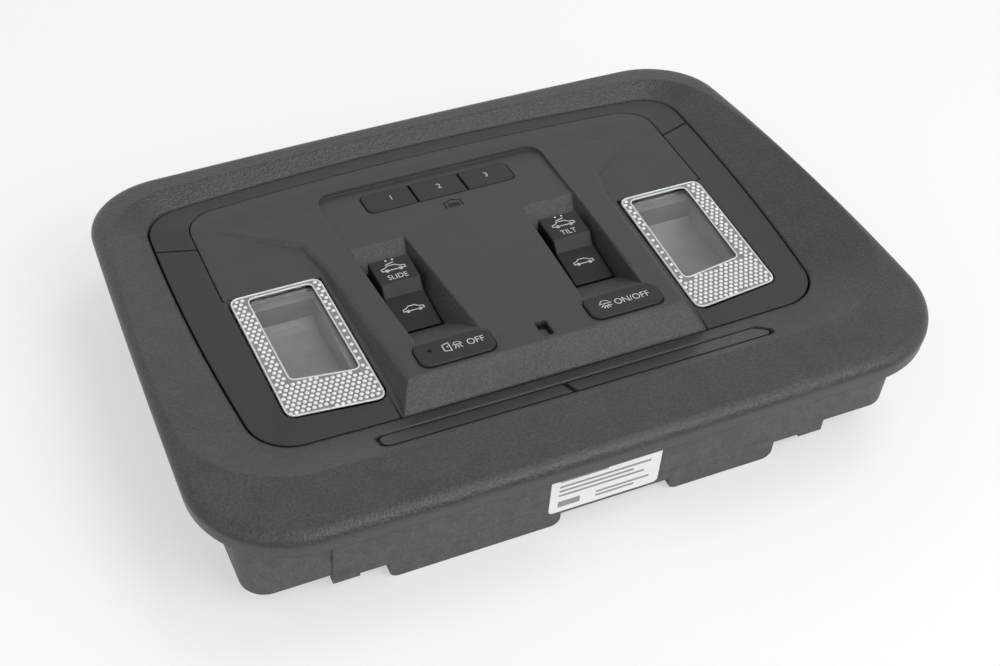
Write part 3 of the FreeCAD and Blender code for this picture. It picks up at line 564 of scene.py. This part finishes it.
# the lens's rim and ridge wear a painted highlight
paintedEdgeHighlight = extras["acrylicEdgeHighlight"]
lensPieces = {
    # the domes wear a painted reflection, near white
    "prisms": (domes(spots), extras["domeReflectionPaint"], "lens", "clear_plastic"),
    # a grey sheet between the domes: painted shade for the lamp's dim inside
    "ground": (domeGround(rimLoop, ridgeLoop), extras["flatAcrylicPaintedShade"], "lens", "clear_plastic"),
    "rim": (tubeLoop(rimLoop, lensTop, lens["edgeR"]), paintedEdgeHighlight, "lens", "clear_plastic"),
    "ridge": (tubeLoop(ridgeLoop, lensTop, lens["ridgeR"]), paintedEdgeHighlight, "lens", "clear_plastic"),
    "cove": (reflectorCove(), materials["reflector_plastic"], "base", "reflector_plastic"),
}
for side, sign in (("left", -1), ("right", 1)):
    for name, ((verts, faces), finish, carrier, slotName) in lensPieces.items():
        placed = [(sign * x, y, z) for x, y, z in verts]
        turned = faces if sign > 0 else [tuple(reversed(face)) for face in faces]
        body = "base" if carrier == "base" else carrier + "_" + side
        addPiece("lens_" + name + "_" + side, placed, turned, finish, body)
print("lenses finished")

# Painted shade in the seam round each strip cover: a dark line drawn just inside its edge
seamShade = {"inset": 0.45, "width": 0.75, "stepMm": 4.0, "apartMm": 0.3}
for side in ("left", "right"):
    node = "strip_cover_" + side
    solid = frame["nodes"][node]
    flat = [((solid.matrix_world @ v.co) / mm).xy for v in solid.data.vertices]
    edge = []
    for i in convex_hull_2d(flat):
        if not edge or min((flat[i] - edge[0]).length, (flat[i] - edge[-1]).length) > seamShade["apartMm"]:
            edge.append(flat[i])
    if sum(a.cross(b) for a, b in zip(edge, edge[1:] + edge[:1])) < 0:
        edge.reverse()
    path = []
    corners = insetLoop(edge, seamShade["inset"])
    for a, b in zip(corners, corners[1:] + corners[:1]):
        cuts = math.ceil((b - a).length / seamShade["stepMm"])
        path += [a.lerp(b, k / cuts) for k in range(cuts)]
    points, faces = stroke(path, seamShade["width"], True)
    verts = [topOf((node, "bezel"), p.x, p.y) + Vector((0, 0, ink["thickMm"])) for p in points]
    # painted shade in the seam, in the dark ink's colour
    addPiece("strip_seam_shade_" + side, verts, faces, extras["darkInkAndSeamShade"], "base")
print("strip joints drawn")


# Floor, light and camera.
# What the eye, a gloss or a clear lens sees of the studio is white; the light itself is weaker.
def seenRays(tree):
    rays = addNode(tree, "ShaderNodeLightPath")
    seen = rays.outputs["Is Camera Ray"]
    for kind in ("Is Glossy Ray", "Is Transmission Ray"):
        seen = addNode(tree, "ShaderNodeMath", {"operation": "MAXIMUM"},
                       links={0: seen, 1: rays.outputs[kind]}).outputs["Value"]
    return seen


# The floor's half width and height are in metres, and it lies a hair under the legs.
stage = {"skyLight": 0.45, "whiteShare": 0.5, "white": (1.0, 1.0, 1.0, 1.0),
         "floorHalf": 6.0, "floorZ": -0.0002}
floorTree = extras["floorPaint"].node_tree
share = addNode(floorTree, "ShaderNodeMath", {"operation": "MULTIPLY"}, {1: stage["whiteShare"]},
                {0: seenRays(floorTree)})
white = addNode(floorTree, "ShaderNodeEmission", values={"Color": stage["white"], "Strength": 1.0})
both = addNode(floorTree, "ShaderNodeMixShader", links={0: share.outputs["Value"],
               1: floorTree.nodes["Principled BSDF"].outputs["BSDF"], 2: white.outputs["Emission"]})
floorTree.links.new(both.outputs["Shader"], floorTree.nodes["Material Output"].inputs["Surface"])
half = stage["floorHalf"]
corners = [(sx * half, sy * half, stage["floorZ"]) for sx, sy in ((-1, -1), (1, -1), (1, 1), (-1, 1))]
floorMesh = bpy.data.meshes.new("floor")
floorMesh.from_pydata(corners, [], [(0, 1, 2, 3)])
floorMesh.materials.append(extras["floorPaint"])
floor = bpy.data.objects.new("floor", floorMesh)
scene.collection.objects.link(floor)

world = bpy.data.worlds.new("studio")
scene.world = world
world.use_nodes = True
sky = world.node_tree
background = sky.nodes["Background"]
background.inputs["Color"].default_value = stage["white"]
strength = addNode(sky, "ShaderNodeMath", {"operation": "MAXIMUM"}, {1: stage["skyLight"]},
                   {0: seenRays(sky)})
sky.links.new(strength.outputs["Value"], background.inputs["Strength"])

lamps = {"key": {"at": (0.69, -1.48, 1.47), "size": 1.4, "watts": 24.0},
         "fill": {"at": (-1.2, -0.9, 1.5), "size": 1.2, "watts": 5.0},
         "over": {"at": (0.62, -0.1, 2.0), "size": 0.8, "watts": 8.0}}
for name, facts in lamps.items():
    lamp = bpy.data.lights.new(name, "AREA")
    lamp.size = facts["size"]
    lamp.energy = facts["watts"]
    holder = bpy.data.objects.new(name, lamp)
    holder.location = facts["at"]
    holder.rotation_euler = (-Vector(facts["at"])).to_track_quat("-Z", "Y").to_euler()
    scene.collection.objects.link(holder)

shot = {"at": (-215.96, -467.33, 487.94), "azimuth": 25.105, "down": 42.429, "roll": 2.0,
        "focalPx": 1724.48, "widthPx": 1000, "sensor": 36.0}
azimuth, down, roll = (math.radians(shot[key]) for key in ("azimuth", "down", "roll"))
ahead = Vector((math.sin(azimuth) * math.cos(down), math.cos(azimuth) * math.cos(down), -math.sin(down)))
across = ahead.cross(Vector((0, 0, 1))).normalized()
upright = across.cross(ahead)
right = across * math.cos(roll) + upright * math.sin(roll)
top = upright * math.cos(roll) - across * math.sin(roll)
camera = bpy.data.cameras.new("camera")
camera.sensor_fit = "HORIZONTAL"
camera.sensor_width = shot["sensor"]
camera.lens = shot["sensor"] * shot["focalPx"] / shot["widthPx"]
camera.clip_start = 0.01
eye = bpy.data.objects.new("camera", camera)
turned = Matrix((right, top, -ahead)).transposed().to_4x4()
eye.matrix_world = Matrix.Translation(Vector(shot["at"]) * mm) @ turned
scene.collection.objects.link(eye)
scene.camera = eye
scene.view_settings.view_transform = "Standard"
print("stage set")
